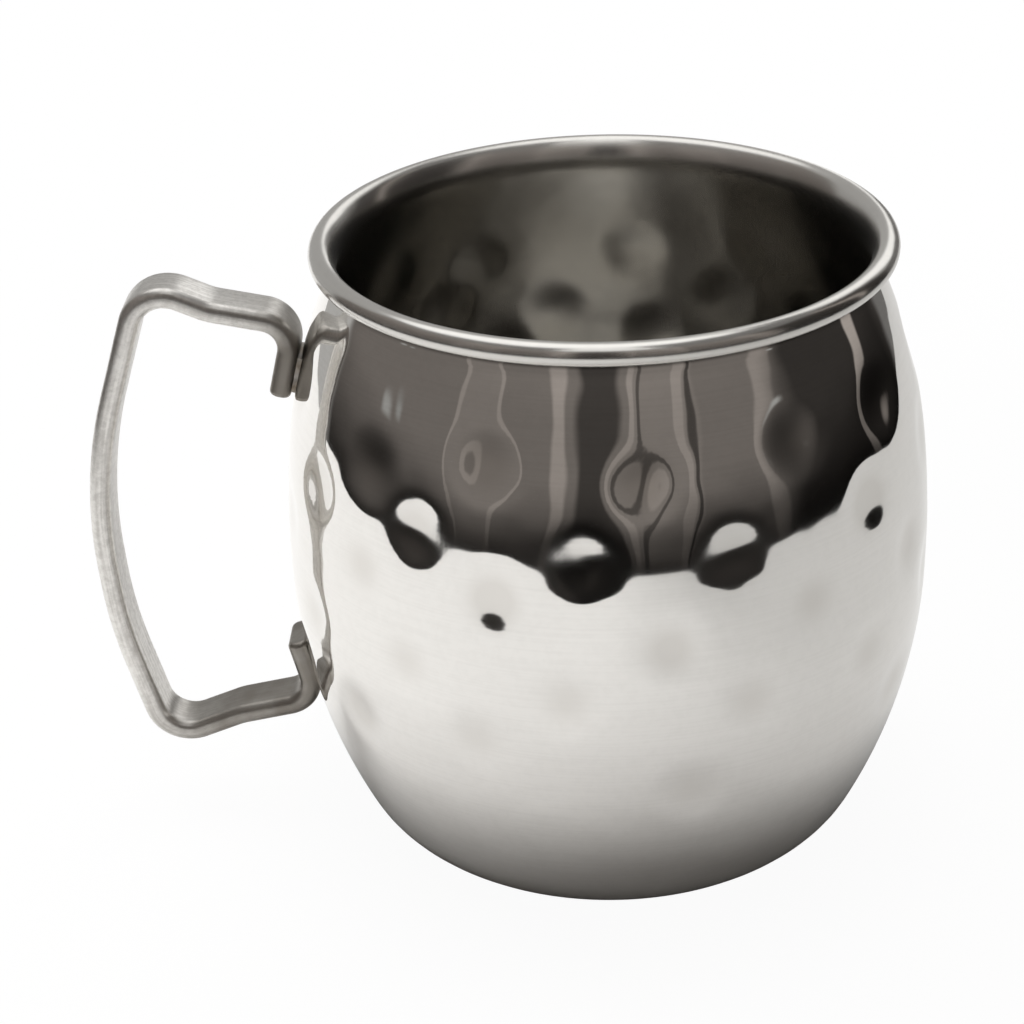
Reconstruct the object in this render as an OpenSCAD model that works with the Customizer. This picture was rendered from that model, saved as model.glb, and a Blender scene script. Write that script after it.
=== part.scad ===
// Hammered barrel mug: a single sheet of steel drawn to a barrel, rolled at the lip and
// dimpled with a ball hammer, with a bent flat-bar handle welded on at shoulder and foot.
// The mug stands on Z = 0 round the Z axis, and the handle points to -X.

/* [Body] */
// Height of the mug over its lip
mug_height = 95; // [85:0.5:110]
// Radius of the barrel at its widest
belly_radius = 48.2; // [45:0.1:54]
// Height of the widest point above the table
belly_height = 45.5; // [40:0.5:50]
// Radius of the side's arc below the widest point
lower_side_radius = 88; // [75:1:110]
// Radius of the corner between base and side
foot_radius = 13.5; // [9:0.5:18]
// Radius of the side's arc above the widest point
upper_side_radius = 160; // [120:1:220]
// Degrees that this arc turns before the shoulder starts
upper_side_turn = 6.3; // [3:0.1:9]
// Thickness of the sheet
wall = 0.8; // [0.6:0.05:1]

/* [Lip] */
// Radius of the mug over its rolled lip
lip_radius = 42.4; // [40:0.1:45]
// Radius of the roll
roll_radius = 1.65; // [1.4:0.05:2.2]
// Radius of the neck's curve below the roll
neck_radius = 4; // [3:0.1:5]
// Degrees below level at which the neck's centre lies from the roll's
neck_dip = 37.5; // [30:0.5:45]
// Gap between the roll's cut edge and the neck
lip_seam = 0.3; // [0.1:0.05:0.5]

/* [Hammer marks] */
// Radius of the hammer's ball face
hammer_radius = 26; // [20:0.5:40]
// Depth of a mark
mark_depth = 1.1; // [0.5:0.05:1.4]
// Marks in one row round the mug
marks_per_row = 13; // [8:1:15]
// Rows of marks
mark_rows = 5; // [1:1:5]
// Height of the top row
top_row_height = 77; // [72:0.5:79]
// Height from one row to the next
row_pitch = 11; // [10:0.1:13]
// Degrees from the front to the first mark of the top row
row_turn = 7.5; // [-13:0.5:13]

/* [Handle] */
// Thickness of the flat bar
bar_thickness = 3.2; // [2.9:0.1:4]
// Width of the flat bar
bar_width = 8; // [6:0.1:12]
// Radius of the bar's rounded edges
bar_edge = 1.3; // [0.3:0.1:1.4]
// Clear room for fingers between the barrel and the grip
finger_room = 27.9; // [22:0.1:35]
// Height of the upper weld
upper_weld_height = 74; // [70:0.5:77]
// Height of the lower weld
lower_weld_height = 22.8; // [19:0.1:26]
// Length of the upper tab below its weld
upper_tab_drop = 3.8; // [3:0.1:6]
// Length of the upper tab from its weld up to the arm
upper_tab_rise = 7.6; // [6.5:0.1:10]
// Length of the lower tab from the foot of its bend
lower_tab_rise = 11; // [8:0.5:14]
// Degrees by which the lower tab leans away from the barrel
lower_tab_lean = 13.5; // [5:0.5:20]
// Length of each arm from its tab to its knee
arm_length = 12.6; // [10:0.1:16]
// Degrees by which each arm spreads away from the middle
arm_tilt = 11.5; // [5:0.5:20]
// Height from the upper weld to the grip's upper corner
corner_rise = 14.7; // [12:0.1:18]
// Height from the lower weld down to the grip's lower corner
corner_drop = 12.1; // [10:0.1:15]
// Distance of the grip's upper corner behind its furthest point
upper_setback = 10.3; // [5:0.1:15]
// Distance of the grip's lower corner behind its furthest point
lower_setback = 7.4; // [4:0.1:12]
// Height of the grip's furthest point
grip_height = 56.7; // [45:0.1:60]
// Height of the slight bend in the lower grip
grip_knee_height = 32; // [26:0.5:38]
// Distance of this bend behind the furthest point
grip_knee_setback = 1.7; // [1:0.1:4]
// Bend radius of the tabs, on the bar's middle line
tab_bend = 4.3; // [3:0.1:5]
// Bend radius of the arms' knees
arm_bend = 10; // [6:0.5:14]
// Bend radius of the grip's corners
corner_bend = 5.5; // [4:0.1:8]
// Bend radius of the grip itself
grip_bend = 75; // [40:1:90]

/* [Welds] */
// Gap between the barrel and the handle that a weld fills
weld_gap = 0.3; // [0.2:0.05:0.5]
// Radius of a weld's bead
weld_radius = 2.8; // [2:0.1:3.2]
// Length of a weld along the bar's width
weld_length = 6; // [4:0.1:8]

/* [Hidden] */
$fn = 96;

// Directions, turns and lengths in the mug's half section, as [radius, height]
function toward(angle) = [cos(angle), sin(angle)];
function heading(a, b) = atan2(b[1] - a[1], b[0] - a[0]);
function turn(before, after) = (after - before + 540) % 360 - 180;

// Centres of the side's arcs, each tangent to the next
lower_centre = [belly_radius - lower_side_radius, belly_height];
upper_centre = [belly_radius - upper_side_radius, belly_height];
foot_reach = lower_side_radius - foot_radius;
foot_angle = asin((belly_height - foot_radius) / foot_reach);
base_radius = lower_centre[0] + foot_reach * cos(foot_angle);
foot_centre = [base_radius, foot_radius];

// The roll, and the neck whose curve runs into it
roll_centre = [lip_radius - roll_radius, mug_height - roll_radius];
neck_offset = neck_radius + wall - roll_radius;
neck_centre = roll_centre + neck_offset * toward(-neck_dip);
seam_reach = neck_radius - lip_seam;
seam_angle = acos((seam_reach ^ 2 - neck_offset ^ 2 - roll_radius ^ 2) / (2 * roll_radius * neck_offset));

// The shoulder's radius, from the two curves that it has to meet
upper_end = upper_centre + upper_side_radius * toward(upper_side_turn);
shoulder_span = neck_centre - upper_end;
shoulder_radius = (neck_radius ^ 2 - shoulder_span * shoulder_span)
    / (2 * (shoulder_span * toward(upper_side_turn) - neck_radius));
shoulder_centre = upper_end - shoulder_radius * toward(upper_side_turn);
shoulder_end = heading(shoulder_centre, neck_centre);

// The arc that the side follows at a height, as [centre, radius]
function side_arc(z) =
    z < belly_height ? [lower_centre, lower_side_radius] :
    z < upper_end[1] ? [upper_centre, upper_side_radius] : [shoulder_centre, shoulder_radius];
// Degrees by which the side faces upwards at a height, and the point of the side there
function side_angle(z) = asin((z - side_arc(z)[0][1]) / side_arc(z)[1]);
function side_point(z) = side_arc(z)[0] + side_arc(z)[1] * toward(side_angle(z));

// The middle line of the handle's tabs, laid against the barrel
tab_offset = weld_gap + bar_thickness / 2;
upper_lean = side_angle(upper_weld_height);
upper_seat = side_point(upper_weld_height) + tab_offset * toward(upper_lean);
upper_corner = upper_seat + upper_tab_rise * toward(upper_lean + 90);
lower_lean = side_angle(lower_weld_height);
lower_seat = side_point(lower_weld_height) + tab_offset * toward(lower_lean);

// The lower tab's bend touches the barrel, so its centre comes first and its corner from that
lower_bend_centre = lower_seat + tab_bend * toward(lower_lean);
lower_arm_heading = 180 - arm_tilt;
lower_tab_heading = 90 - lower_tab_lean;
lower_bend_half = (lower_arm_heading - lower_tab_heading) / 2;
lower_corner = lower_bend_centre
    + tab_bend / cos(lower_bend_half) * toward(lower_tab_heading + lower_bend_half + 90);

// Corners of the handle's middle line before bending, as [corner, bend radius]
grip_reach = belly_radius + finger_room + bar_thickness / 2;
bends = [
    [upper_seat - upper_tab_drop * toward(upper_lean + 90), 0],
    [upper_corner, tab_bend],
    [upper_corner + arm_length * toward(arm_tilt), arm_bend],
    [[grip_reach - upper_setback, upper_weld_height + corner_rise], corner_bend],
    [[grip_reach, grip_height], grip_bend],
    [[grip_reach - grip_knee_setback, grip_knee_height], grip_bend],
    [[grip_reach - lower_setback, lower_weld_height - corner_drop], corner_bend],
    [lower_corner + arm_length * toward(-arm_tilt), arm_bend],
    [lower_corner, tab_bend],
    [lower_corner + lower_tab_rise * toward(lower_tab_heading), 0]
];
last_bend = len(bends) - 1;
headings = [for (i = [0:last_bend - 1]) heading(bends[i][0], bends[i + 1][0])];
turns = [for (i = [0:last_bend]) i == 0 || i == last_bend ? 0 : turn(headings[i - 1], headings[i])];
setbacks = [for (i = [0:last_bend]) bends[i][1] * tan(abs(turns[i]) / 2)];

// The hammer marks' places, as [degrees from the front, height], clear of the welds
mark_pitch = 360 / marks_per_row;
mark_reach = sqrt(2 * hammer_radius * mark_depth);
bump_root_radius = 1.5 * belly_radius;
handle_turn = -90;
function weld_distance(angle, z, weld_z) =
    norm([side_point(z)[0] * sin(angle - handle_turn), z - weld_z]);
function clear_of_weld(angle, z, weld_z) =
    cos(angle - handle_turn) < 0 || weld_distance(angle, z, weld_z) > mark_reach + weld_radius;
marks = [
    for (row = [0:mark_rows - 1], i = [0:marks_per_row - 1])
        let (z = top_row_height - row * row_pitch,
             angle = row_turn + (i - (row % 2) / 2) * mark_pitch)
        if (clear_of_weld(angle, z, upper_weld_height) && clear_of_weld(angle, z, lower_weld_height))
            [angle, z]
];

// Points along an arc, without its first point
function arc(centre, radius, from, to, steps) =
    [for (i = [1:steps]) centre + radius * toward(from + (to - from) * i / steps)];

// The sheet from the middle of the base to the cut edge in the roll, at an inset from its outer face
function side_path(inset) = concat(
    arc(lower_centre, lower_side_radius - inset, -foot_angle, 0, 6),
    arc(upper_centre, upper_side_radius - inset, 0, upper_side_turn, 2),
    arc(shoulder_centre, shoulder_radius - inset, upper_side_turn, shoulder_end, 4)
);
function foot_path(inset) = concat(
    [[0, inset], [base_radius, inset]],
    arc(foot_centre, foot_radius - inset, -90, -foot_angle, 6)
);
function lip_path(inset) = concat(
    arc(neck_centre, neck_radius + inset, 180 + shoulder_end, 180 - neck_dip, 5),
    arc(roll_centre, roll_radius - wall + inset, 180 - neck_dip, seam_angle - neck_dip - 180, 18)
);
function sheet_path(inset) = concat(foot_path(inset), side_path(inset), lip_path(inset));
function reversed(list) = [for (i = [1:len(list)]) list[len(list) - i]];

module sheet_section() {
    polygon(concat(sheet_path(0), reversed(sheet_path(wall))));
}

// All that lies inside the sheet's outer face, up to the neck
module filled_section() {
    path = concat(foot_path(0), side_path(0));
    polygon(concat(path, [[0, path[len(path) - 1][1]]]));
}

// Everything placed at each hammer mark, with Z along the side's outward normal
module at_marks() {
    for (mark = marks) {
        seat = side_point(mark[1]);
        rotate([0, 0, mark[0] - 90]) translate([seat[0], 0, seat[1]])
            rotate([0, 90 - side_angle(mark[1]), 0]) children();
    }
}

// The dent's outer face: the end of a ball hammer
module hammer_face() {
    rotate_extrude() intersection() {
        translate([0, hammer_radius - mark_depth]) circle(hammer_radius);
        translate([0, -2 * mark_depth]) square([mark_reach, 3 * mark_depth]);
    }
}

// The bump that the hammer raises inside, rooted in the middle of the sheet
module raised_bump() {
    rotate_extrude() intersection() {
        translate([0, hammer_radius - mark_depth]) circle(hammer_radius + wall);
        translate([0, -bump_root_radius - wall / 2]) circle(bump_root_radius);
        translate([0, -hammer_radius]) square(2 * hammer_radius);
    }
}

module mug_body() {
    color("silver") difference() {
        union() {
            rotate_extrude() sheet_section();
            at_marks() raised_bump();
        }
        at_marks() hammer_face();
    }
}

// Places along the handle's middle line, as [point, heading], with steps round each bend
bend_step = 10;
function bend_steps(i) = max(2, ceil(abs(turns[i]) / bend_step));
function bend_start(i) = bends[i][0] - setbacks[i] * toward(headings[i - 1]);
function bend_centre(i) = bend_start(i) + bends[i][1] * toward(headings[i - 1] + sign(turns[i]) * 90);
bar_path = concat(
    [[bends[0][0], headings[0]]],
    [for (i = [1:last_bend - 1], k = [0:bend_steps(i)])
        let (at = headings[i - 1] + turns[i] * k / bend_steps(i))
            [bend_centre(i) + bends[i][1] * toward(at - sign(turns[i]) * 90), at]],
    [[bends[last_bend][0], headings[last_bend - 1]]]
);

// The bar's section, as [across its thickness, across its width]
edge_steps = 3;
bar_section = [
    for (corner = [[1, 1], [-1, 1], [-1, -1], [1, -1]], k = [0:edge_steps])
        let (first = corner[0] == corner[1] ? (corner[0] > 0 ? 0 : 180) : (corner[0] > 0 ? 270 : 90))
            [corner[0] * (bar_thickness / 2 - bar_edge), corner[1] * (bar_width / 2 - bar_edge)]
                + bar_edge * toward(first + 90 * k / edge_steps)
];

// A solid swept along places in the X-Z plane, with one section point list for all of them
module sweep(path, section) {
    rings = len(path);
    sides = len(section);
    points = [for (place = path, s = section)
        let (across = s[0] * toward(place[1] - 90))
            [place[0][0] + across[0], s[1], place[0][1] + across[1]]];
    walls = [for (i = [0:rings - 2], j = [0:sides - 1])
        let (k = (j + 1) % sides, a = i * sides, b = a + sides)
            each [[a + j, b + k, a + k], [a + j, b + j, b + k]]];
    ends = [[for (j = [0:sides - 1]) j], reversed([for (j = [0:sides - 1]) (rings - 1) * sides + j])];
    polyhedron(points, concat(walls, ends));
}

module handle() {
    color("darkgray") rotate([0, 0, 180]) sweep(bar_path, bar_section);
}

// A weld's bead at a height of the barrel, cut by both pieces that it joins
module weld(z) {
    at = side_point(z);
    color("dimgray") difference() {
        translate([-at[0], 0, at[1]]) rotate([90, 0, 0]) cylinder(r = weld_radius, h = weld_length, center = true);
        rotate_extrude($fn = 256) filled_section();
        handle();
    }
}

module upper_weld() {
    weld(upper_weld_height);
}

module lower_weld() {
    weld(lower_weld_height);
}

mug_body();
handle();
upper_weld();
lower_weld();
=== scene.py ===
import math
import random

import bmesh
import bpy
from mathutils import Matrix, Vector


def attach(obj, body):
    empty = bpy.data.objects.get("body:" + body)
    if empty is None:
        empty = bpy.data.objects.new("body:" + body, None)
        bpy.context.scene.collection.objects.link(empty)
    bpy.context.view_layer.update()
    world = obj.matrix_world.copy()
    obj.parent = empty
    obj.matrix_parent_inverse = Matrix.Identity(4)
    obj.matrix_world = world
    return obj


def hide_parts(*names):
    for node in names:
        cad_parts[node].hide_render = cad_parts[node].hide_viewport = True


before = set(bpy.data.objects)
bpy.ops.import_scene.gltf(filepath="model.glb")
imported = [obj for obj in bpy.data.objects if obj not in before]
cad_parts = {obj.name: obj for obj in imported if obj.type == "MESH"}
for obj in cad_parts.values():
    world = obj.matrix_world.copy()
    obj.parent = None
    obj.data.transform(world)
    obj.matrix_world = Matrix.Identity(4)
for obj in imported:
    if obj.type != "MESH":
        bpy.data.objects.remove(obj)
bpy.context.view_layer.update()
scene = bpy.context.scene
scene.view_settings.view_transform = "Standard"
print("frame loaded:", sorted(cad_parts))


# camera, fitted to the lip, the barrel's edges and the handle
cameraSettings = {
    "place": (0.0, -0.32967, 0.22214),
    "turn": (62.331, 1.817, 1.553),                 # degrees
    "lens": 85.90, "sensor": 36.0, "nearClip": 0.01,
}

def setCamera(s):
    data = bpy.data.cameras.new("mugCamera")
    data.lens = s["lens"]
    data.sensor_width = s["sensor"]
    data.clip_start = s["nearClip"]
    cam = bpy.data.objects.new("mugCamera", data)
    cam.location = s["place"]
    cam.rotation_euler = [math.radians(a) for a in s["turn"]]
    scene.collection.objects.link(cam)
    scene.camera = cam

setCamera(cameraSettings)
print("camera set")


# small helpers for node trees
def addNode(tree, kind, **values):
    node = tree.nodes.new(kind)
    for name, value in values.items():
        setattr(node, name, value)
    return node

def joinUp(tree, *pairs):
    for a, b in pairs:
        tree.links.new(a, b)

def feed(tree, socket, value):
    # a number or colour is set on the socket, an output is linked to it
    if isinstance(value, (int, float)):
        socket.default_value = value
    elif isinstance(value, tuple):
        socket.default_value = (*value, 1.0)
    else:
        tree.links.new(value, socket)

def mathNode(tree, operation, *values, clamp=False):
    node = addNode(tree, "ShaderNodeMath", operation=operation, use_clamp=clamp)
    for socket, value in zip(node.inputs, values):
        feed(tree, socket, value)
    return node.outputs[0]

def rangeNode(tree, value, fromLow, fromHigh, toLow, toHigh):
    node = addNode(tree, "ShaderNodeMapRange", interpolation_type="SMOOTHSTEP")
    ends = {"From Min": fromLow, "From Max": fromHigh, "To Min": toLow, "To Max": toHigh}
    for name, end in ends.items():
        node.inputs[name].default_value = end
    tree.links.new(value, node.inputs["Value"])
    return node.outputs["Result"]

def mixColour(tree, factor, a, b):
    node = addNode(tree, "ShaderNodeMix", data_type="RGBA")
    for socket, value in ((node.inputs[0], factor), (node.inputs[6], a), (node.inputs[7], b)):
        feed(tree, socket, value)
    return node.outputs[2]

def useGroup(tree, group, **values):
    node = addNode(tree, "ShaderNodeGroup", node_tree=group)
    for name, value in values.items():
        feed(tree, node.inputs[name.replace("_", " ")], value)
    return node

def addBump(tree, height, strength, distance, under=None):
    node = addNode(tree, "ShaderNodeBump")
    node.inputs["Strength"].default_value = strength
    node.inputs["Distance"].default_value = distance
    tree.links.new(height, node.inputs["Height"])
    if under is not None:
        tree.links.new(under, node.inputs["Normal"])
    return node.outputs[0]

def meshValue(tree, name):
    return addNode(tree, "ShaderNodeAttribute", attribute_name=name).outputs["Fac"]

def newTree(name):
    mat = bpy.data.materials.new(name)
    mat.use_nodes = True
    mat.node_tree.nodes.clear()
    return mat, mat.node_tree

def newMetal(name):
    mat, tree = newTree(name)
    bsdf = addNode(tree, "ShaderNodeBsdfPrincipled")
    bsdf.inputs["Metallic"].default_value = 1.0
    tree.links.new(bsdf.outputs[0], addNode(tree, "ShaderNodeOutputMaterial").inputs["Surface"])
    return mat, tree, bsdf


# shared finishes
def makeHandPolish():
    # slow waves and faint scuffs of hand-polished steel, from Object coordinates
    g = bpy.data.node_groups.new("handPolish", "ShaderNodeTree")
    g.interface.new_socket("Vector", in_out="INPUT", socket_type="NodeSocketVector")
    for name, value in (("Wave Size", 60.0), ("Scuff Size", 900.0)):
        g.interface.new_socket(name, in_out="INPUT", socket_type="NodeSocketFloat").default_value = value
    for name in ("Wave", "Scuff"):
        g.interface.new_socket(name, in_out="OUTPUT", socket_type="NodeSocketFloat")
    gin, gout = addNode(g, "NodeGroupInput"), addNode(g, "NodeGroupOutput")
    wave = addNode(g, "ShaderNodeTexNoise")
    wave.inputs["Detail"].default_value = 2.0
    scuff = addNode(g, "ShaderNodeTexNoise")
    scuff.inputs["Detail"].default_value = 4.0
    scuff.inputs["Roughness"].default_value = 0.65
    joinUp(g, (gin.outputs["Vector"], wave.inputs["Vector"]), (gin.outputs["Wave Size"], wave.inputs["Scale"]),
           (gin.outputs["Vector"], scuff.inputs["Vector"]), (gin.outputs["Scuff Size"], scuff.inputs["Scale"]),
           (wave.outputs["Fac"], gout.inputs["Wave"]), (scuff.outputs["Fac"], gout.inputs["Scuff"]))
    return g

def makeBrushLines():
    # fine lines, dense across and long along
    g = bpy.data.node_groups.new("brushLines", "ShaderNodeTree")
    g.interface.new_socket("Across", in_out="INPUT", socket_type="NodeSocketFloat")
    g.interface.new_socket("Along", in_out="INPUT", socket_type="NodeSocketFloat")
    for name, value in (("Lines", 4000.0), ("Length", 40.0)):
        g.interface.new_socket(name, in_out="INPUT", socket_type="NodeSocketFloat").default_value = value
    g.interface.new_socket("Line", in_out="OUTPUT", socket_type="NodeSocketFloat")
    gin, gout = addNode(g, "NodeGroupInput"), addNode(g, "NodeGroupOutput")
    vec = addNode(g, "ShaderNodeCombineXYZ")
    joinUp(g, (mathNode(g, "MULTIPLY", gin.outputs["Across"], gin.outputs["Lines"]), vec.inputs["X"]),
           (mathNode(g, "MULTIPLY", gin.outputs["Along"], gin.outputs["Length"]), vec.inputs["Y"]))
    noise = addNode(g, "ShaderNodeTexNoise")
    noise.inputs["Scale"].default_value = 1.0
    noise.inputs["Detail"].default_value = 3.0
    joinUp(g, (vec.outputs[0], noise.inputs["Vector"]), (noise.outputs["Fac"], gout.inputs["Line"]))
    return g

handPolish = makeHandPolish()
brushLines = makeBrushLines()


# the sheet: mirror polished outside, satin inside
sheetFinish = {
    "polished": (0.84, 0.825, 0.80),
    "polishedDull": (0.805, 0.79, 0.765), "dullFrom": (0.8, 1.3),
    "hollowShade": (0.735, 0.715, 0.685),            # painted shade: the bottoms of the dents are painted darker
    "inside": (0.56, 0.545, 0.515),
    "insideDull": (0.52, 0.505, 0.475),
    "rough": {"outside": 0.04, "wall": 0.18, "neck": 0.255, "roll": 0.20},
    "roughFrom": (0.75, 1.35), "roughShare": (0.95, 1.05),
    "brushed": 0.8, "brushTurn": 0.25,              # brushed round the mug, so reflections spread up and down
    "waveSize": 55.0, "waveShare": 0.6, "waveHeight": 0.0006,
    "scuffSize": 700.0, "lines": 2600.0, "lineLength": 2.0,
}

def makeSheetSteel(s):
    mat, tree, bsdf = newMetal("sheetSteel")
    spot = addNode(tree, "ShaderNodeTexCoord").outputs["Object"]
    xyz = addNode(tree, "ShaderNodeSeparateXYZ")
    tree.links.new(spot, xyz.inputs[0])
    bearing = mathNode(tree, "ARCTAN2", xyz.outputs["Y"], xyz.outputs["X"])
    polish = useGroup(tree, handPolish, Vector=spot, Wave_Size=s["waveSize"], Scuff_Size=s["scuffSize"])
    lines = useGroup(tree, brushLines, Across=xyz.outputs["Z"], Along=bearing, Lines=s["lines"], Length=s["lineLength"])
    worn = mathNode(tree, "ADD", polish.outputs["Scuff"], lines.outputs["Line"])
    outer = mixColour(tree, rangeNode(tree, worn, *s["dullFrom"], 0.0, 1.0), s["polished"], s["polishedDull"])
    # painted shade: the dents' bottoms are mixed towards a darker colour
    deep = mathNode(tree, "POWER", meshValue(tree, "hollow"), 2.0, clamp=True)
    outer = mixColour(tree, deep, outer, s["hollowShade"])
    inner = mixColour(tree, lines.outputs["Line"], s["inside"], s["insideDull"])
    share = rangeNode(tree, worn, *s["roughFrom"], *s["roughShare"])
    rough = mathNode(tree, "MULTIPLY", meshValue(tree, "rough"), share)
    tangent = addNode(tree, "ShaderNodeTangent", direction_type="RADIAL", axis="Z")
    bsdf.inputs["Anisotropic"].default_value = s["brushed"]
    bsdf.inputs["Anisotropic Rotation"].default_value = s["brushTurn"]
    joinUp(tree, (mixColour(tree, meshValue(tree, "inside"), outer, inner), bsdf.inputs["Base Color"]),
           (rough, bsdf.inputs["Roughness"]), (tangent.outputs[0], bsdf.inputs["Tangent"]),
           (addBump(tree, polish.outputs["Wave"], s["waveShare"], s["waveHeight"]), bsdf.inputs["Normal"]))
    return mat

sheetSteel = makeSheetSteel(sheetFinish)


# the handle's satin bar
barFinish = {
    "bright": (0.81, 0.793, 0.765),
    "dull": (0.59, 0.573, 0.547), "dullFrom": (0.35, 0.65),
    # partly the welding's heat tint, partly painted shade, darkest on the lower arm
    "heatTintAndShade": (0.26, 0.24, 0.215), "heatedFrom": (0.3, 0.6), "heatedShare": (0.75, 1.0),
    "rough": (0.29, 0.37), "roughFrom": (0.3, 0.7), "heatRough": 0.06,
    "waveSize": 120.0, "waveShare": 0.5, "waveHeight": 0.0003,
    "scuffSize": 1100.0, "lines": 2600.0, "lineLength": 60.0, "lineShare": 0.3, "lineHeight": 0.00003,
}

def makeBarSteel(s):
    mat, tree, bsdf = newMetal("barSteel")
    spot = addNode(tree, "ShaderNodeTexCoord").outputs["Object"]
    polish = useGroup(tree, handPolish, Vector=spot, Wave_Size=s["waveSize"], Scuff_Size=s["scuffSize"])
    lines = useGroup(tree, brushLines, Across=meshValue(tree, "acrossBar"), Along=meshValue(tree, "alongBar"),
                     Lines=s["lines"], Length=s["lineLength"])
    wave, line = polish.outputs["Wave"], lines.outputs["Line"]
    blend = mathNode(tree, "MULTIPLY", mathNode(tree, "ADD", line, polish.outputs["Scuff"]), 0.5)
    brushed = mixColour(tree, rangeNode(tree, blend, *s["dullFrom"], 0.0, 1.0), s["bright"], s["dull"])
    # the browned mask is partly heat tint and partly painted shade
    heat = meshValue(tree, "browned")
    tint = mathNode(tree, "MULTIPLY", heat, rangeNode(tree, wave, *s["heatedFrom"], *s["heatedShare"]))
    rough = mathNode(tree, "ADD", rangeNode(tree, blend, *s["roughFrom"], *s["rough"]),
                     mathNode(tree, "MULTIPLY", heat, s["heatRough"]))
    waves = addBump(tree, wave, s["waveShare"], s["waveHeight"])
    joinUp(tree, (mixColour(tree, tint, brushed, s["heatTintAndShade"]), bsdf.inputs["Base Color"]),
           (rough, bsdf.inputs["Roughness"]),
           (addBump(tree, line, s["lineShare"], s["lineHeight"], waves), bsdf.inputs["Normal"]))
    return mat

barSteel = makeBarSteel(barFinish)


# the welds: rough beads, a little heat-browned
weldFinish = {
    "bead": (0.36, 0.34, 0.315),
    "browned": (0.25, 0.21, 0.165), "brownedFrom": (0.4, 0.65),
    "rough": (0.30, 0.55), "roughFrom": (0.3, 0.7),
    "waveSize": 350.0, "waveShare": 0.8, "waveHeight": 0.0004, "scuffSize": 1500.0,
}

def makeWeldSteel(s):
    mat, tree, bsdf = newMetal("weldSteel")
    spot = addNode(tree, "ShaderNodeTexCoord").outputs["Object"]
    polish = useGroup(tree, handPolish, Vector=spot, Wave_Size=s["waveSize"], Scuff_Size=s["scuffSize"])
    wave, scuff = polish.outputs["Wave"], polish.outputs["Scuff"]
    colour = mixColour(tree, rangeNode(tree, wave, *s["brownedFrom"], 0.0, 1.0), s["bead"], s["browned"])
    joinUp(tree, (colour, bsdf.inputs["Base Color"]),
           (rangeNode(tree, scuff, *s["roughFrom"], *s["rough"]), bsdf.inputs["Roughness"]),
           (addBump(tree, wave, s["waveShare"], s["waveHeight"]), bsdf.inputs["Normal"]))
    return mat

weldSteel = makeWeldSteel(weldFinish)
print("finishes made")


# the mug's sheet, in millimetres as on the drawing
sheetSizes = {
    "height": 95.0, "bellyRadius": 48.2, "bellyHeight": 45.5,
    "lowerSide": 88.0, "foot": 13.5, "upperSide": 160.0, "upperTurn": 6.3, "wall": 0.8,
    "lipRadius": 42.4, "roll": 1.65, "neck": 4.0, "neckDip": 37.5, "lipSeam": 0.3,
    "around": 360,
    "outerSteps": {"base": 5, "foot": 12, "lower": 44, "upper": 20, "shoulder": 32, "neck": 8, "roll": 12},
    "innerSteps": {"base": 5, "foot": 10, "lower": 28, "upper": 12, "shoulder": 20, "neck": 8, "roll": 32},
    "rollSatin": 0.5,                               # share of the inside's satin that the roll keeps
    "satinFade": (-3, 6), "neckFade": (-14, 0),     # in steps from where the neck starts
    "rollFade": (0, 10),                            # in steps from where the roll starts
}

def toward(degrees):
    a = math.radians(degrees)
    return Vector((math.cos(a), math.sin(a)))

def degreesOf(v):
    return math.degrees(math.atan2(v.y, v.x))

def sheetArcs(s):
    # centres of the arcs that the sheet follows, each tangent to the next
    a = {}
    a["lower"] = Vector((s["bellyRadius"] - s["lowerSide"], s["bellyHeight"]))
    a["upper"] = Vector((s["bellyRadius"] - s["upperSide"], s["bellyHeight"]))
    reach = s["lowerSide"] - s["foot"]
    a["footAngle"] = math.degrees(math.asin((s["bellyHeight"] - s["foot"]) / reach))
    a["foot"] = Vector((a["lower"].x + reach * math.cos(math.radians(a["footAngle"])), s["foot"]))
    a["roll"] = Vector((s["lipRadius"] - s["roll"], s["height"] - s["roll"]))
    offset = s["neck"] + s["wall"] - s["roll"]
    a["neck"] = a["roll"] + offset * toward(-s["neckDip"])
    gap = s["neck"] - s["lipSeam"]
    a["seam"] = math.degrees(math.acos((gap ** 2 - offset ** 2 - s["roll"] ** 2) / (2 * s["roll"] * offset)))
    a["upperEnd"] = a["upper"] + s["upperSide"] * toward(s["upperTurn"])
    span = a["neck"] - a["upperEnd"]
    rise = span.dot(toward(s["upperTurn"])) - s["neck"]
    a["shoulderRadius"] = (s["neck"] ** 2 - span.length_squared) / (2 * rise)
    a["shoulder"] = a["upperEnd"] - a["shoulderRadius"] * toward(s["upperTurn"])
    a["shoulderEnd"] = degreesOf(a["neck"] - a["shoulder"])
    return a

sheetArc = sheetArcs(sheetSizes)

def sidePoint(z):
    # the barrel's outer face at a height
    s, a = sheetSizes, sheetArc
    if z < s["bellyHeight"]:
        centre, radius = a["lower"], s["lowerSide"]
    elif z < a["upperEnd"].y:
        centre, radius = a["upper"], s["upperSide"]
    else:
        centre, radius = a["shoulder"], a["shoulderRadius"]
    return centre + radius * toward(math.degrees(math.asin((z - centre.y) / radius)))

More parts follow.
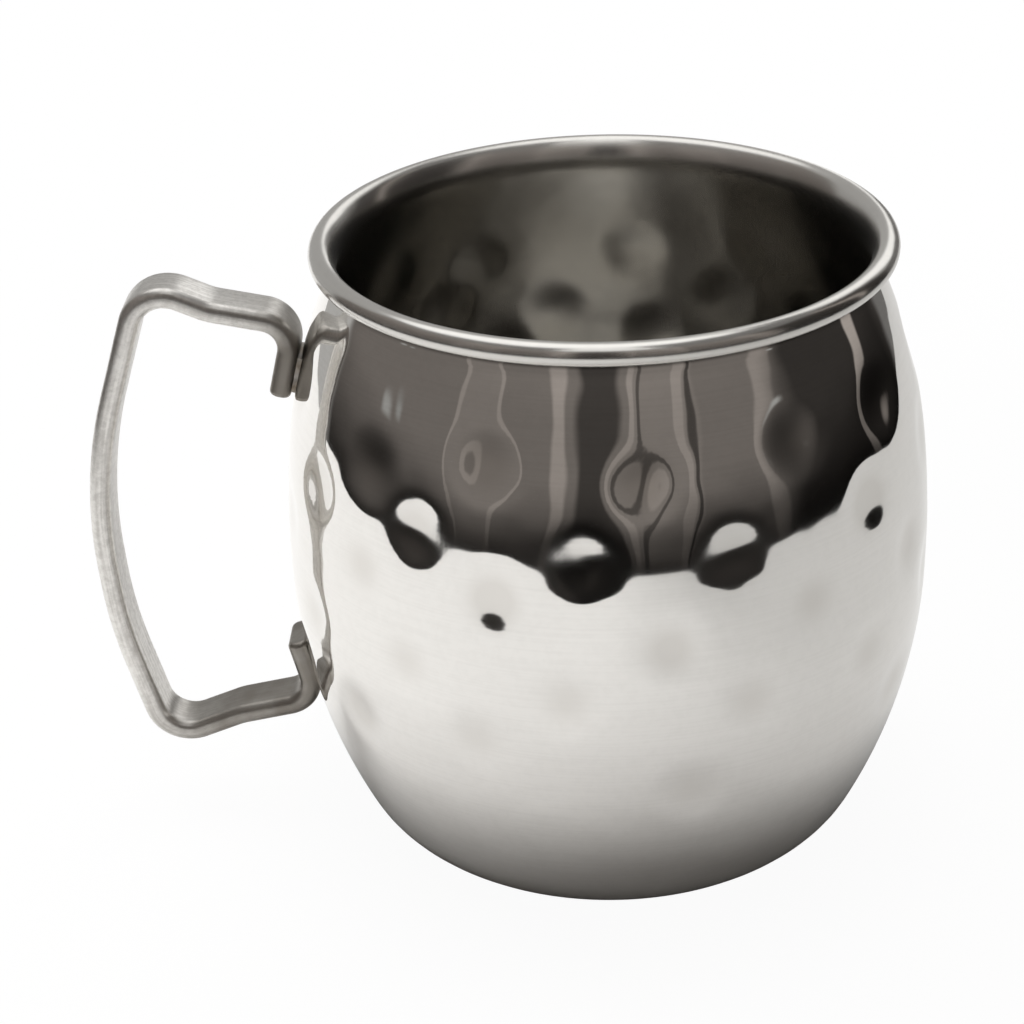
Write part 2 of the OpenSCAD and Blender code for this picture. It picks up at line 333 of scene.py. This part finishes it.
def sheetStations(s, a, inset, steps):
    # along the sheet from the base's middle to the roll's cut edge: place, outer-face place, outward direction
    out = []
    def arc(centre, radius, start, end, count, sign):
        for i in range(1, count + 1):
            d = toward(start + (end - start) * i / count)
            out.append((centre + (radius - sign * inset) * d, centre + radius * d, sign * d))
    baseEdge = a["foot"].x
    for i in range(steps["base"] + 1):
        r = baseEdge * i / steps["base"]
        out.append((Vector((r, inset)), Vector((r, 0.0)), Vector((0.0, -1.0))))
    arc(a["foot"], s["foot"], -90.0, -a["footAngle"], steps["foot"], 1)
    arc(a["lower"], s["lowerSide"], -a["footAngle"], 0.0, steps["lower"], 1)
    arc(a["upper"], s["upperSide"], 0.0, s["upperTurn"], steps["upper"], 1)
    arc(a["shoulder"], a["shoulderRadius"], s["upperTurn"], a["shoulderEnd"], steps["shoulder"], 1)
    arc(a["neck"], s["neck"], 180.0 + a["shoulderEnd"], 180.0 - s["neckDip"], steps["neck"], -1)
    arc(a["roll"], s["roll"] - s["wall"], 180.0 - s["neckDip"], a["seam"] - s["neckDip"] - 180.0, steps["roll"], -1)
    return out

def sheetMesh(s, a):
    outer = sheetStations(s, a, 0.0, s["outerSteps"])
    inner = sheetStations(s, a, s["wall"], s["innerSteps"])
    rollFrom = len(inner) - s["innerSteps"]["roll"]
    neckFrom = rollFrom - s["innerSteps"]["neck"]
    kinds = sheetFinish["rough"]
    def fade(before, after, step, span):
        share = (step - span[0]) / (span[1] - span[0])
        return before + (after - before) * min(max(share, 0.0), 1.0)
    rings = [(p, q, n, 0.0, kinds["outside"]) for p, q, n in outer[1:]]
    for i in range(len(inner) - 1, 0, -1):
        satin = fade(1.0, s["rollSatin"], i - neckFrom, s["satinFade"])
        rough = fade(kinds["wall"], kinds["neck"], i - neckFrom, s["neckFade"])
        rings.append((*inner[i], satin, fade(rough, kinds["roll"], i - rollFrom, s["rollFade"])))
    count = s["around"]
    verts, skins, outs, insides, roughs, faces = [], [], [], [], [], []
    def spun(v, k):
        t = 2 * math.pi * k / count
        return Vector((v.x * math.cos(t), v.x * math.sin(t), v.y))
    for p, q, n, inside, rough in rings:
        for k in range(count):
            verts.append(spun(p, k) / 1000)
            skins.append(spun(q, k) / 1000)
            outs.append(spun(n, k))
            insides.append(inside)
            roughs.append(rough)
    for i in range(len(rings) - 1):
        for k in range(count):
            m = (k + 1) % count
            faces.append((i * count + k, i * count + m, (i + 1) * count + m, (i + 1) * count + k))
    # the poles in the middle of the base, below and above
    poles = ((outer[0], 0, 0.0, kinds["outside"]), (inner[0], len(rings) - 1, 1.0, kinds["wall"]))
    for pole, ring, inside, rough in poles:
        verts.append(spun(pole[0], 0) / 1000)
        skins.append(spun(pole[1], 0) / 1000)
        outs.append(Vector((0, 0, -1)))
        insides.append(inside)
        roughs.append(rough)
        tip = len(verts) - 1
        for k in range(count):
            here, after = ring * count + k, ring * count + (k + 1) % count
            faces.append((tip, after, here) if ring == 0 else (tip, here, after))
    mesh = bpy.data.meshes.new("mugSheet")
    mesh.from_pydata(verts, [], faces)
    for name, rows in (("skinPoint", skins), ("outward", outs)):
        values = mesh.attributes.new(name, "FLOAT_VECTOR", "POINT").data
        values.foreach_set("vector", [c for v in rows for c in v])
    for name, rows in (("inside", insides), ("rough", roughs)):
        mesh.attributes.new(name, "FLOAT", "POINT").data.foreach_set("value", rows)
    mesh.polygons.foreach_set("use_smooth", [True] * len(mesh.polygons))
    return mesh


# hammer strokes: rows round the barrel, the ones in front as they were struck
hammerStrokes = {
    "perRow": 13, "firstTurn": 7.5, "seed": 11,
    "driftTurn": 2.2, "driftHeight": 1.3,           # degrees and millimetres of the hand
    "forceDrift": 0.12,
    "rows": (77.0, 66.0, 55.0, 44.0, 33.0),
    "struck": (                                     # degrees from the front, height, force
        ((-45, 73.2, 1.0), (-21, 77.9, 1.0), (6, 76.2, 1.0), (35, 78.4, 1.0), (59, 77.8, 1.0),
         (174, 74.6, 1.0), (-153, 74.1, 1.0)),
        ((-61, 65.6, 1.7), (-34, 66.8, 1.05), (-4, 65.4, 0.85), (21, 65.5, 0.82), (51, 65.4, 1.3),
         (-170, 63.0, 0.9), (155, 66.5, 0.9)),
        ((-46, 58.6, 0.9), (-19, 59.2, 1.18), (10, 52.5, 1.0), (36, 55.1, 0.9), (170, 58.0, 0.9)),
        ((-36, 46.5, 0.8), (-7, 44.5, 0.8), (24, 42.3, 0.8), (50, 42.2, 0.8)),
        ((-23, 36.6, 0.7), (14, 28.5, 0.7)),
    ),
    "spacing": 0.75,                                # least gap to those, in shares of the row's pitch
    "bowlRadius": 6.6, "bowlDepth": 0.39, "dishRadius": 9.0, "dishDepth": 0.06,
    "weldHeights": (74.0, 22.8), "weldRoom": 9.0,
}

def strokeRows(s):
    rng = random.Random(s["seed"])
    pitch = 360.0 / s["perRow"]
    odd, even = [], []
    for row, z in enumerate(s["rows"]):
        struck = list(s["struck"][row])
        turns = [stroke[0] for stroke in struck]
        for i in range(s["perRow"]):
            turn = (s["firstTurn"] + (i - (row % 2) / 2) * pitch + 180) % 360 - 180
            turn += rng.uniform(-1, 1) * s["driftTurn"]
            height = z + rng.uniform(-1, 1) * s["driftHeight"]
            if min(abs((turn - t + 180) % 360 - 180) for t in turns) > s["spacing"] * pitch:
                struck.append((turn, height, 1.0 + rng.uniform(-1, 1) * s["forceDrift"]))
        for turn, height, force in struck:
            point = sidePoint(height)
            aside = point.x * math.sin(math.radians(turn + 90))
            away = min(math.hypot(aside, height - w) for w in s["weldHeights"])
            if math.cos(math.radians(turn + 90)) > 0 and away < s["weldRoom"]:
                continue
            t = math.radians(turn)
            place = Vector((point.x * math.sin(t), -point.x * math.cos(t), point.y)) / 1000
            (even if row % 2 else odd).append((place, force))
    return odd, even

def strokePoints(name, strokes):
    mesh = bpy.data.meshes.new(name)
    mesh.from_pydata([stroke[0] for stroke in strokes], [], [])
    mesh.attributes.new("force", "FLOAT", "POINT").data.foreach_set("value", [stroke[1] for stroke in strokes])
    obj = bpy.data.objects.new(name, mesh)
    scene.collection.objects.link(obj)
    return obj

def namedValue(tree, name, kind="FLOAT"):
    node = addNode(tree, "GeometryNodeInputNamedAttribute", data_type=kind)
    node.inputs["Name"].default_value = name
    return node.outputs["Attribute"]

def keepValue(tree, name, geometry, value):
    # stores a value on the points for the finish
    node = addNode(tree, "GeometryNodeStoreNamedAttribute", data_type="FLOAT", domain="POINT")
    node.inputs["Name"].default_value = name
    joinUp(tree, (geometry, node.inputs["Geometry"]), (value, node.inputs["Value"]))
    return node.outputs[0]

def hammerDentTree():
    # sinks the sheet along its outward direction round the nearest stroke of each row set
    g = bpy.data.node_groups.new("hammerDents", "GeometryNodeTree")
    g.interface.new_socket("Sheet", in_out="INPUT", socket_type="NodeSocketGeometry")
    for name in ("Odd Rows", "Even Rows"):
        g.interface.new_socket(name, in_out="INPUT", socket_type="NodeSocketObject")
    for name in ("Bowl Radius", "Bowl Depth", "Dish Radius", "Dish Depth"):
        g.interface.new_socket(name, in_out="INPUT", socket_type="NodeSocketFloat")
    g.interface.new_socket("Metal", in_out="INPUT", socket_type="NodeSocketMaterial")
    g.interface.new_socket("Hammered Sheet", in_out="OUTPUT", socket_type="NodeSocketGeometry")
    gin, gout = addNode(g, "NodeGroupInput"), addNode(g, "NodeGroupOutput")
    skin = namedValue(g, "skinPoint", "FLOAT_VECTOR")
    sinks = []
    for rows in ("Odd Rows", "Even Rows"):
        info = addNode(g, "GeometryNodeObjectInfo")
        near = addNode(g, "GeometryNodeProximity", target_element="POINTS")
        which = addNode(g, "GeometryNodeSampleNearest", domain="POINT")
        force = addNode(g, "GeometryNodeSampleIndex", data_type="FLOAT", domain="POINT")
        strokes = info.outputs["Geometry"]
        joinUp(g, (gin.outputs[rows], info.inputs["Object"]),
               (strokes, near.inputs[0]), (skin, near.inputs["Sample Position"]),
               (strokes, which.inputs["Geometry"]), (skin, which.inputs["Sample Position"]),
               (strokes, force.inputs["Geometry"]), (namedValue(g, "force"), force.inputs["Value"]),
               (which.outputs["Index"], force.inputs["Index"]))
        hollows = []
        for form in ("Bowl", "Dish"):
            share = mathNode(g, "DIVIDE", near.outputs["Distance"], gin.outputs[form + " Radius"])
            left = mathNode(g, "SUBTRACT", 1.0, mathNode(g, "MULTIPLY", share, share))
            left = mathNode(g, "MAXIMUM", left, 0.0)
            depth = gin.outputs[form + " Depth"]
            hollows.append(mathNode(g, "MULTIPLY", mathNode(g, "MULTIPLY", left, left), depth))
        sinks.append(mathNode(g, "MULTIPLY", mathNode(g, "ADD", *hollows), force.outputs[0]))
    total = mathNode(g, "ADD", *sinks)
    hollow = mathNode(g, "DIVIDE", total, gin.outputs["Bowl Depth"])
    offset = addNode(g, "ShaderNodeVectorMath", operation="SCALE")
    place = addNode(g, "GeometryNodeSetPosition")
    real = addNode(g, "GeometryNodeRealizeInstances")
    metal = addNode(g, "GeometryNodeSetMaterial")
    joinUp(g, (namedValue(g, "outward", "FLOAT_VECTOR"), offset.inputs[0]),
           (mathNode(g, "MULTIPLY", total, -1.0), offset.inputs["Scale"]),
           (keepValue(g, "hollow", gin.outputs["Sheet"], hollow), place.inputs["Geometry"]),
           (offset.outputs[0], place.inputs["Offset"]), (place.outputs[0], real.inputs[0]),
           (real.outputs[0], metal.inputs["Geometry"]), (gin.outputs["Metal"], metal.inputs["Material"]),
           (metal.outputs[0], gout.inputs[0]))
    return g

def runTree(obj, tree, values):
    # sets the tree's named inputs by identifier, evaluates it and gives back a plain mesh
    mod = obj.modifiers.new(tree.name, "NODES")
    mod.node_group = tree
    sockets = [i for i in tree.interface.items_tree if i.item_type == "SOCKET" and i.in_out == "INPUT"]
    ids = {i.name: i.identifier for i in sockets}
    for name, value in values.items():
        mod[ids[name]] = value
    bpy.context.view_layer.update()
    mesh = bpy.data.meshes.new_from_object(obj.evaluated_get(bpy.context.evaluated_depsgraph_get()))
    obj.modifiers.remove(mod)
    obj.data = mesh

def makeMugSheet(s):
    obj = bpy.data.objects.new("mugSheet", sheetMesh(sheetSizes, sheetArc))
    scene.collection.objects.link(obj)
    odd, even = strokeRows(s)
    oddRows, evenRows = strokePoints("oddRowStrokes", odd), strokePoints("evenRowStrokes", even)
    runTree(obj, hammerDentTree(), {"Odd Rows": oddRows, "Even Rows": evenRows, "Metal": sheetSteel,
                                    "Bowl Radius": s["bowlRadius"] / 1000, "Bowl Depth": s["bowlDepth"] / 1000,
                                    "Dish Radius": s["dishRadius"] / 1000, "Dish Depth": s["dishDepth"] / 1000})
    for o in (oddRows, evenRows):
        bpy.data.objects.remove(o)
    for name in ("skinPoint", "outward"):
        obj.data.attributes.remove(obj.data.attributes[name])
    print("mug sheet:", len(odd) + len(even), "strokes,", len(obj.data.polygons), "faces")
    return obj

mugSheet = makeMugSheet(hammerStrokes)
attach(mugSheet, "root")
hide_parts("mug_body")


# the handle: one flat bar, bent on a set of corners
barSizes = {
    "thickness": 3.2, "width": 8.0, "edge": 1.3,
    "corners": (                                    # from the axis, height, bend radius
        (48.04, 70.77, 0.0), (45.29, 81.83, 4.3), (57.63, 84.35, 10.0), (67.40, 88.70, 5.5), (77.70, 56.70, 75.0),
        (76.00, 32.00, 75.0), (70.30, 10.70, 5.5), (58.34, 15.36, 10.0), (45.99, 17.87, 4.3), (48.56, 28.57, 0.0),
    ),
    "bendSteps": 18, "edgeSteps": 6, "endEdge": 0.7, "endSteps": 4,
    "upperHeat": 18.0, "lowerHeat": 42.0,           # how far the welding's heat tint and a painted shade reach, from each end
    "upperFull": 0.4, "lowerFull": 0.55,            # shares of that with the full tint and shade
}

def bentBarTree(s):
    g = bpy.data.node_groups.new("bentBar", "GeometryNodeTree")
    g.interface.new_socket("Corner Line", in_out="INPUT", socket_type="NodeSocketGeometry")
    for name in ("Width", "Thickness", "Edge Radius", "Upper Heat", "Lower Heat"):
        g.interface.new_socket(name, in_out="INPUT", socket_type="NodeSocketFloat")
    for name in ("Bend Steps", "Edge Steps"):
        g.interface.new_socket(name, in_out="INPUT", socket_type="NodeSocketInt")
    g.interface.new_socket("Metal", in_out="INPUT", socket_type="NodeSocketMaterial")
    g.interface.new_socket("Bar", in_out="OUTPUT", socket_type="NodeSocketGeometry")
    gin, gout = addNode(g, "NodeGroupInput"), addNode(g, "NodeGroupOutput")
    line = addNode(g, "GeometryNodeMeshToCurve")
    bends = addNode(g, "GeometryNodeFilletCurve", mode="POLY")
    bends.inputs["Limit Radius"].default_value = False
    joinUp(g, (gin.outputs["Corner Line"], line.inputs["Mesh"]), (line.outputs[0], bends.inputs["Curve"]),
           (namedValue(g, "bend"), bends.inputs["Radius"]), (gin.outputs["Bend Steps"], bends.inputs["Count"]))
    along = addNode(g, "GeometryNodeSplineParameter").outputs["Length"]
    whole = addNode(g, "GeometryNodeSplineLength").outputs["Length"]
    # the browned mask: heat tint near the welds plus painted shade, reaching further along the lower arm
    fromUpper = mathNode(g, "DIVIDE", along, gin.outputs["Upper Heat"])
    fromLower = mathNode(g, "DIVIDE", mathNode(g, "SUBTRACT", whole, along), gin.outputs["Lower Heat"])
    upper = rangeNode(g, fromUpper, s["upperFull"], 1.0, 1.0, 0.0)
    lower = rangeNode(g, fromLower, s["lowerFull"], 1.0, 1.0, 0.0)
    path = keepValue(g, "alongBar", bends.outputs[0], along)
    path = keepValue(g, "browned", path, mathNode(g, "MAXIMUM", upper, lower))
    outline = addNode(g, "GeometryNodeCurvePrimitiveQuadrilateral", mode="RECTANGLE")
    edges = addNode(g, "GeometryNodeFilletCurve", mode="POLY")
    xyz = addNode(g, "ShaderNodeSeparateXYZ")
    joinUp(g, (gin.outputs["Width"], outline.inputs["Width"]), (gin.outputs["Thickness"], outline.inputs["Height"]),
           (outline.outputs[0], edges.inputs["Curve"]), (gin.outputs["Edge Radius"], edges.inputs["Radius"]),
           (gin.outputs["Edge Steps"], edges.inputs["Count"]),
           (addNode(g, "GeometryNodeInputPosition").outputs[0], xyz.inputs[0]))
    section = keepValue(g, "acrossBar", edges.outputs[0], mathNode(g, "ADD", xyz.outputs["X"], xyz.outputs["Y"]))
    sweep = addNode(g, "GeometryNodeCurveToMesh")
    sweep.inputs["Fill Caps"].default_value = True
    smooth = addNode(g, "GeometryNodeSetShadeSmooth")
    real = addNode(g, "GeometryNodeRealizeInstances")
    metal = addNode(g, "GeometryNodeSetMaterial")
    joinUp(g, (path, sweep.inputs["Curve"]), (section, sweep.inputs["Profile Curve"]),
           (sweep.outputs[0], smooth.inputs["Geometry"]), (smooth.outputs[0], real.inputs[0]),
           (real.outputs[0], metal.inputs["Geometry"]), (gin.outputs["Metal"], metal.inputs["Material"]),
           (metal.outputs[0], gout.inputs[0]))
    return g

def makeHandleBar(s):
    line = bpy.data.meshes.new("handleBar")
    line.from_pydata([(-u / 1000, 0.0, z / 1000) for u, z, _ in s["corners"]],
                     [(i, i + 1) for i in range(len(s["corners"]) - 1)], [])
    line.attributes.new("bend", "FLOAT", "POINT").data.foreach_set("value", [r / 1000 for _, _, r in s["corners"]])
    obj = bpy.data.objects.new("handleBar", line)
    scene.collection.objects.link(obj)
    runTree(obj, bentBarTree(s), {"Width": s["width"] / 1000, "Thickness": s["thickness"] / 1000,
                                  "Edge Radius": s["edge"] / 1000, "Upper Heat": s["upperHeat"] / 1000,
                                  "Lower Heat": s["lowerHeat"] / 1000, "Bend Steps": s["bendSteps"],
                                  "Edge Steps": s["edgeSteps"], "Metal": barSteel})
    # the two cut ends get a small round
    bm = bmesh.new()
    bm.from_mesh(obj.data)
    bmesh.ops.remove_doubles(bm, verts=bm.verts, dist=1e-6)
    caps = [f for f in bm.faces if len(f.verts) > 4]
    rims = [e for f in caps for e in f.edges]
    bmesh.ops.bevel(bm, geom=rims, offset=s["endEdge"] / 1000, segments=s["endSteps"], profile=0.5,
                    affect="EDGES", clamp_overlap=True)
    bmesh.ops.recalc_face_normals(bm, faces=bm.faces)
    for f in bm.faces:
        f.smooth = True
    bm.to_mesh(obj.data)
    bm.free()
    print("handle bar:", len(obj.data.polygons), "faces")
    return obj

handleBar = makeHandleBar(barSizes)
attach(handleBar, "root")
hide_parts("handle")


# the welds keep their solids and get their finish
for name in ("upper_weld", "lower_weld"):
    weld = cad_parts[name]
    weld.data.materials.clear()
    weld.data.materials.append(weldSteel)
print("welds finished")


# the table, in metres
tableSettings = {
    "radius": 0.30, "back": 0.9, "side": 0.39, "middle": (-0.01, 0.02),
    # painted shade: the board is painted darker from left to right
    "left": (0.96, 0.96, 0.955), "right": (0.65, 0.65, 0.645), "fade": (-0.04, 0.14),
    "near": 0.45, "nearShadowReach": (0.03, 0.066),       # painted shadow: what is left of its colour close to the mug, and how far out
    "shadeMiddle": (-0.038, 0.10, 0.0), "shadeReach": (0.020, 0.060),
    "shadeLevel": 0.3, "shadeEdge": (0.3, 1.2),     # a soft shade behind the mug
    "seen": 0.045, "seenReach": (0.12, 0.27),       # share of its own shading that the camera sees, fading out
}

def makeTable(s):
    # a board with a round front edge
    cx, cy = s["middle"]
    turns = [math.radians(a) for a in range(180, 361, 5)]
    verts = [(cx + s["radius"] * math.cos(a), cy + s["radius"] * math.sin(a), 0.0) for a in turns]
    verts += [(cx + s["side"], s["back"], 0.0), (cx - s["side"], s["back"], 0.0)]
    mesh = bpy.data.meshes.new("table")
    mesh.from_pydata(verts, [], [tuple(range(len(verts)))])
    obj = bpy.data.objects.new("table", mesh)
    scene.collection.objects.link(obj)
    mat, tree = newTree("tableWhite")
    spot = addNode(tree, "ShaderNodeTexCoord").outputs["Object"]
    reach = addNode(tree, "ShaderNodeVectorMath", operation="LENGTH")
    xyz = addNode(tree, "ShaderNodeSeparateXYZ")
    aside = addNode(tree, "ShaderNodeVectorMath", operation="SUBTRACT")
    aside.inputs[1].default_value = s["shadeMiddle"]
    spread = addNode(tree, "ShaderNodeVectorMath", operation="MULTIPLY")
    spread.inputs[1].default_value = (1 / s["shadeReach"][0], 1 / s["shadeReach"][1], 0.0)
    oval = addNode(tree, "ShaderNodeVectorMath", operation="LENGTH")
    joinUp(tree, (spot, reach.inputs[0]), (spot, xyz.inputs[0]), (spot, aside.inputs[0]),
           (aside.outputs[0], spread.inputs[0]), (spread.outputs[0], oval.inputs[0]))
    # painted shade falling off towards the right
    fade = rangeNode(tree, xyz.outputs["X"], *s["fade"], 0.0, 1.0)
    # painted shadow round the mug's foot
    near = rangeNode(tree, reach.outputs["Value"], *s["nearShadowReach"], s["near"], 1.0)
    shade = rangeNode(tree, oval.outputs["Value"], *s["shadeEdge"], s["shadeLevel"], 1.0)
    seen = rangeNode(tree, reach.outputs["Value"], *s["seenReach"], 1.0 - s["seen"], 1.0)
    colour = addNode(tree, "ShaderNodeVectorMath", operation="SCALE")
    board = addNode(tree, "ShaderNodeBsdfDiffuse")
    plain = addNode(tree, "ShaderNodeEmission")
    path = addNode(tree, "ShaderNodeLightPath")
    mix = addNode(tree, "ShaderNodeMixShader")
    out = addNode(tree, "ShaderNodeOutputMaterial")
    joinUp(tree, (mixColour(tree, fade, s["left"], s["right"]), colour.inputs[0]),
           (mathNode(tree, "MULTIPLY", near, shade), colour.inputs["Scale"]),
           (colour.outputs[0], board.inputs["Color"]),
           (mathNode(tree, "MULTIPLY", path.outputs["Is Camera Ray"], seen), mix.inputs[0]),
           (board.outputs[0], mix.inputs[1]), (plain.outputs[0], mix.inputs[2]),
           (mix.outputs[0], out.inputs["Surface"]))
    mesh.materials.append(mat)


# the room and its lamp: turns are degrees from the front, heights degrees above the table
roomSettings = {
    "wall": (0.162, 0.146, 0.135),                  # the room in front
    "lowWall": 0.1, "lowHeights": (-15.0, 6.0),     # its share of that low down
    "highWall": 1.6, "highHeights": (14.0, 45.0),   # and high up
    "bands": (                                      # turn, half width, softness, brightness
        (-48, 6, 2, 0.195), (-55, 0.5, 0.7, 0.27), (-41, 0.5, 0.7, 0.27), (-17, 2, 2, 0.30), (21, 11, 2, 0.20),
        (10, 0.7, 0.7, 0.28), (13, 0.4, 0.5, 0.08), (28, 1.5, 0.8, 0.28), (31.5, 0.5, 0.5, 0.06),
        (-2, 6, 3, 0.05), (62, 3, 2, 0.27), (100, 26, 14, 0.035), (110, 2, 1.5, 0.4),
    ),
    "behind": (0.44, 0.435, 0.425),                 # the back of the room, past these turns
    "backLeft": -118.0, "backRight": 134.0, "backSoft": 3.0,
    "strip": (1.25, 1.245, 1.23),                   # a light strip there: turn, half width, softness
    "stripTurn": (158.0, 14.0, 4.0),
    "dim": (0.16, 0.155, 0.15),                     # something dark low down there
    "dimTurn": (149.0, 16.0, 6.0), "dimBelow": 14.0, "dimSoft": 2.0,
    "lights": (                                     # small far lights: turn, height, half width, half height, brightness
        (-87.0, 3.0, 0.3, 0.5, 0.32), (-82.0, 4.5, 0.2, 0.3, 0.27), (66.5, 6.0, 0.3, 0.6, 0.36),
    ),
    "lightSoft": 2.2, "lightTint": (1.0, 1.0, 0.97),
    "overhead": (0.21, 0.205, 0.20), "overheadFrom": 45.0, "overheadSoft": 3.0,
    "panel": (1.10, 1.095, 1.08),                   # a light panel overhead: middle, half size, softness
    "panelTurn": (2.0, 24.0, 4.0), "panelHeight": (66.0, 13.0, 4.0),
    "lampPlace": (-0.12, 0.25, 0.85), "lampSize": 1.0, "lampPower": 5.9,
    "glow": (1.40, 1.395, 1.38),                    # the lamp's cloth as the metal shows it
    "glowHalf": 27.0, "glowSoft": 4.0,
}

def makeRoom(s):
    # dim with upright bands in front, grey with a light strip behind, dim with a light panel overhead
    world = bpy.data.worlds.new("room")
    scene.world = world
    world.use_nodes = True
    tree = world.node_tree
    tree.nodes.clear()
    facing = addNode(tree, "ShaderNodeTexCoord").outputs["Generated"]
    xyz = addNode(tree, "ShaderNodeSeparateXYZ")
    tree.links.new(facing, xyz.inputs[0])
    height = mathNode(tree, "ARCSINE", xyz.outputs["Z"])
    around = mathNode(tree, "ARCTAN2", xyz.outputs["X"], mathNode(tree, "MULTIPLY", xyz.outputs["Y"], -1.0))
    def ramp(value, start, end, low, high):
        return rangeNode(tree, value, math.radians(start), math.radians(end), low, high)
    def patch(value, middle, half, soft):
        away = mathNode(tree, "ABSOLUTE", mathNode(tree, "SUBTRACT", value, math.radians(middle)))
        return ramp(away, half, half + soft, 1.0, 0.0)
    # in front
    front = s["wall"]
    for turn, half, soft, bright in s["bands"]:
        colour = tuple(bright * c / s["wall"][0] for c in s["wall"])
        front = mixColour(tree, patch(around, turn, half, soft), front, colour)
    share = mathNode(tree, "MULTIPLY", ramp(height, *s["lowHeights"], s["lowWall"], 1.0),
                     ramp(height, *s["highHeights"], 1.0, s["highWall"]))
    scaled = addNode(tree, "ShaderNodeVectorMath", operation="SCALE")
    joinUp(tree, (front, scaled.inputs[0]), (share, scaled.inputs["Scale"]))
    # behind
    behind = mixColour(tree, patch(around, *s["stripTurn"]), s["behind"], s["strip"])
    below = ramp(height, s["dimBelow"] - s["dimSoft"], s["dimBelow"] + s["dimSoft"], 1.0, 0.0)
    behind = mixColour(tree, mathNode(tree, "MULTIPLY", patch(around, *s["dimTurn"]), below), behind, s["dim"])
    left = ramp(around, s["backLeft"] - s["backSoft"], s["backLeft"] + s["backSoft"], 1.0, 0.0)
    right = ramp(around, s["backRight"] - s["backSoft"], s["backRight"] + s["backSoft"], 0.0, 1.0)
    room = mixColour(tree, mathNode(tree, "MAXIMUM", left, right), scaled.outputs[0], behind)
    for turn, rise, halfWidth, halfHeight, bright in s["lights"]:
        mask = mathNode(tree, "MULTIPLY", patch(around, turn, halfWidth, s["lightSoft"]),
                        patch(height, rise, halfHeight, s["lightSoft"]))
        room = mixColour(tree, mask, room, tuple(bright * c for c in s["lightTint"]))
    # overhead
    above = ramp(height, s["overheadFrom"] - s["overheadSoft"], s["overheadFrom"] + s["overheadSoft"], 0.0, 1.0)
    room = mixColour(tree, above, room, s["overhead"])
    mask = mathNode(tree, "MULTIPLY", patch(around, *s["panelTurn"]), patch(height, *s["panelHeight"]))
    room = mixColour(tree, mask, room, s["panel"])
    near = addNode(tree, "ShaderNodeVectorMath", operation="DOT_PRODUCT")
    near.inputs[1].default_value = Vector(s["lampPlace"]).normalized()
    tree.links.new(facing, near.inputs[0])
    edges = [math.cos(math.radians(s["glowHalf"] + soft)) for soft in (s["glowSoft"], -s["glowSoft"])]
    room = mixColour(tree, rangeNode(tree, near.outputs["Value"], *edges, 0.0, 1.0), room, s["glow"])
    # the camera itself sees plain white
    seen = addNode(tree, "ShaderNodeBackground")
    plain = addNode(tree, "ShaderNodeBackground")
    plain.inputs["Color"].default_value = (1, 1, 1, 1)
    path = addNode(tree, "ShaderNodeLightPath")
    mix = addNode(tree, "ShaderNodeMixShader")
    out = addNode(tree, "ShaderNodeOutputWorld")
    joinUp(tree, (room, seen.inputs["Color"]), (path.outputs["Is Camera Ray"], mix.inputs[0]),
           (seen.outputs[0], mix.inputs[1]), (plain.outputs[0], mix.inputs[2]),
           (mix.outputs[0], out.inputs["Surface"]))

def makeLamp(s):
    data = bpy.data.lights.new("softBox", "AREA")
    data.shape = "SQUARE"
    data.size = s["lampSize"]
    data.energy = s["lampPower"]
    lamp = bpy.data.objects.new("softBox", data)
    lamp.location = s["lampPlace"]
    lamp.rotation_euler = Vector(s["lampPlace"]).to_track_quat("Z", "Y").to_euler()
    lamp.visible_glossy = False
    scene.collection.objects.link(lamp)

makeTable(tableSettings)
makeRoom(roomSettings)
makeLamp(roomSettings)
print("room set")
